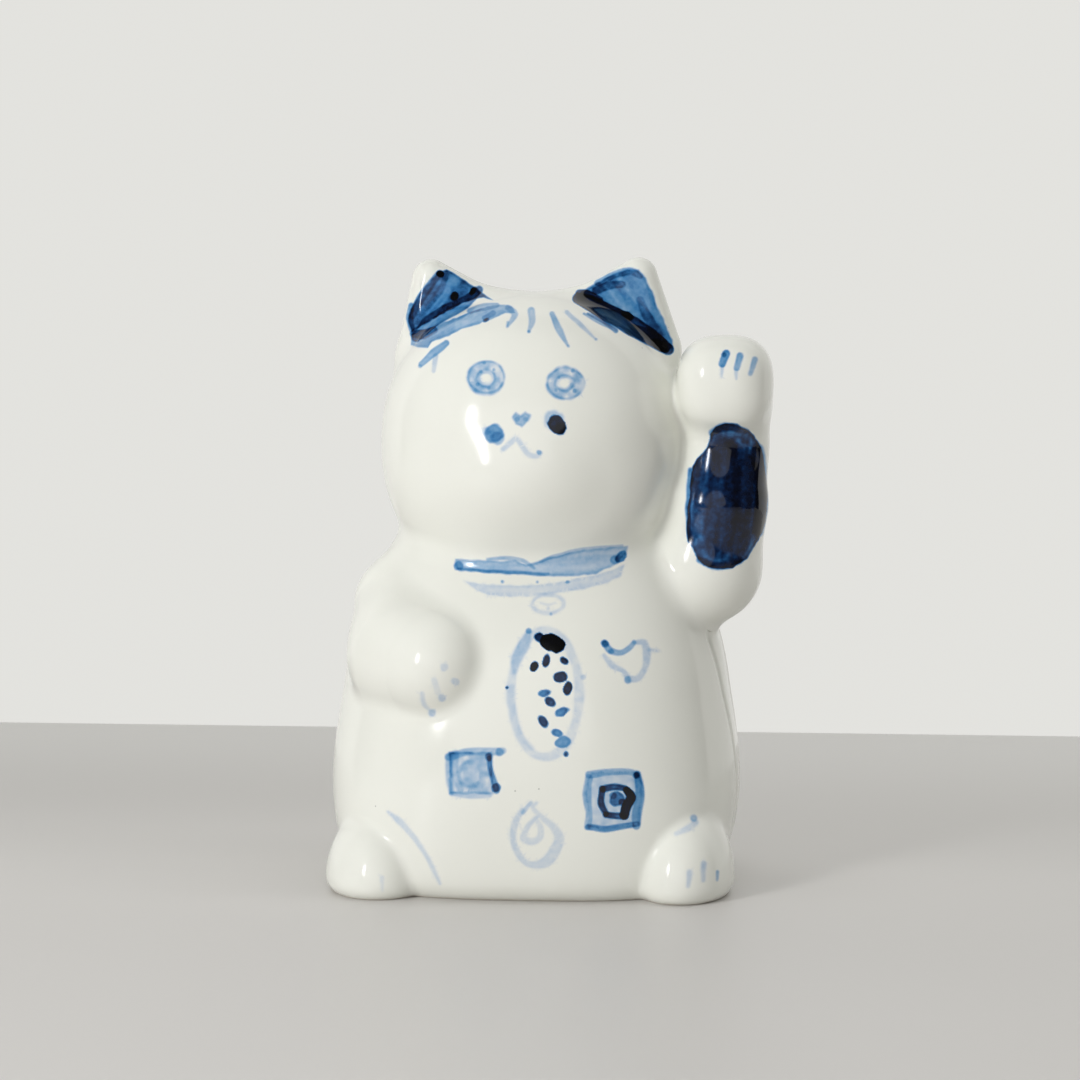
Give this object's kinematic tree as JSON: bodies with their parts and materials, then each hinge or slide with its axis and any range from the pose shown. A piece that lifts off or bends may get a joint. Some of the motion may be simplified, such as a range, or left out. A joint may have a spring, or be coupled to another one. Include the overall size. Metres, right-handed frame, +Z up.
{
  "type": "beckoning cat figurine",
  "caption": "Seated porcelain cat with one raised foreleg, hollow moulded body with a vented base, white glaze and blue brushwork.",
  "frame": {"origin": "on the resting plane, under the middle of the figure's outline", "axes": "+Z up, the face looks along -Y, the raised foreleg is on the +X side"},
  "size_m": [0.0914, 0.079, 0.1277],
  "materials": {
    "body_front": "clear gloss glaze over white porcelain, with cobalt-blue brush painting on the face, ears, collar and belly",
    "body_back": "clear gloss glaze over white porcelain, unpainted",
    "arm_front": "clear gloss glaze over white porcelain, with a dark cobalt patch and toe strokes",
    "arm_back": "clear gloss glaze over white porcelain",
    "tail": "clear gloss glaze over white porcelain",
    "base": "matt unglazed porcelain"
  },
  "bodies": {
    "root": {"body_front_shell": "body_front", "body_back_shell": "body_back", "arm_front_half": "arm_front", "arm_back_half": "arm_back", "tail": "tail", "base_slab": "base"}
  },
  "joints": []
}
